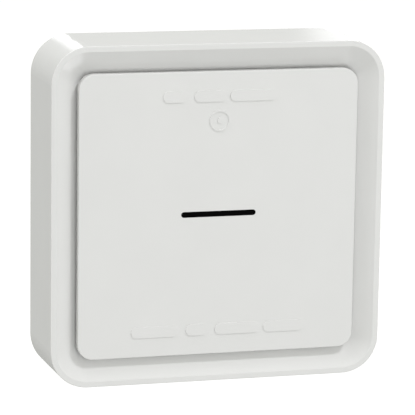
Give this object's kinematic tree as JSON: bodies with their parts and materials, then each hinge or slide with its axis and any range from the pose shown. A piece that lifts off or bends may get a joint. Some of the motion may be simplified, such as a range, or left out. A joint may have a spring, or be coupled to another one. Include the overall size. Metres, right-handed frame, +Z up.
{
  "type": "carbon monoxide detector",
  "caption": "Square wall-mounted gas alarm: rounded case with a dished front, a floating press-to-test plate with a narrow light slot, and a round bayonet wall bracket.",
  "frame": {"origin": "centre of the wall bracket's back face, where it meets the wall", "axes": "+X to the right seen from the front, +Y into the wall, +Z up"},
  "size_m": [0.101, 0.0264, 0.101],
  "materials": {
    "case_white": "smooth gloss, fine moulded texture inside",
    "inner_white": "fine moulded texture",
    "smoked_lens": "polished, dark smoked",
    "bright_steel": "bright drawn or pressed",
    "board_green": "solder mask, semi gloss",
    "board_blue": "solder mask, semi gloss",
    "black_plastic": "moulded, satin",
    "capacitor_sleeve": "shrink sleeve",
    "seal_rubber": "soft foam rubber",
    "gold_brass": "bright sheet and plated pins",
    "copper": "bare wire and winding",
    "ceramic": "silvered ceramic",
    "cell_sleeve": "printed-free shrink sleeve",
    "chip_parts": "ceramic chips",
    "lamp_clear": "clear epoxy on a white base",
    "label_paper": "blank label"
  },
  "bodies": {
    "wall_bracket": {"wall_bracket": "inner_white"},
    "alarm": {"front_cover": "case_white", "hinge_pins": "bright_steel", "return_springs": "bright_steel", "rear_cover": "inner_white", "cover_screws": "bright_steel", "circuit_board": "board_green", "board_screws": "bright_steel", "sensor_body": "bright_steel", "sensor_cap": "inner_white", "sensor_gasket": "seal_rubber", "sensor_pins": "gold_brass", "insect_screen": "bright_steel", "battery_cell": "bright_steel", "battery_sleeve": "cell_sleeve", "battery_tabs": "bright_steel", "battery_cradle": "inner_white", "sounder_disc": "gold_brass", "sounder_ceramic": "ceramic", "sounder_horn": "black_plastic", "sounder_contacts": "bright_steel", "test_switch_body": "black_plastic", "status_lamps": "lamp_clear", "radio_board": "board_blue", "radio_shield": "bright_steel", "antenna_wire": "copper", "microcontroller": "black_plastic", "driver_coil": "copper", "capacitors": "capacitor_sleeve", "chip_components": "chip_parts", "pin_header": "black_plastic", "rating_label": "label_paper"},
    "plate": {"test_plate": "case_white", "light_guide": "smoked_lens"},
    "switch_plunger": {"test_switch_plunger": "inner_white"}
  },
  "joints": [
    {"name": "bayonet_twist", "type": "hinge", "parent": "wall_bracket", "child": "alarm", "pos_m": [0, 0, 0], "axis": [0, -1, 0], "range_deg": [0, 15]},
    {"name": "plate_press", "type": "hinge", "parent": "alarm", "child": "plate", "pos_m": [0, -0.0185, 0.036], "axis": [1, 0, 0], "range_deg": [0, 0.5], "stiffness_Nm_per_rad": 5, "springref_deg": -1.15, "deforming": ["return_springs"]},
    {"name": "switch_travel", "type": "slide", "parent": "alarm", "child": "switch_plunger", "axis": [0, 1, 0], "range_m": [0, 0.00045]}
  ],
  "couplings": [
    {"joint": "switch_travel", "follows": "plate_press", "m_per_rad": 0.05}
  ]
}
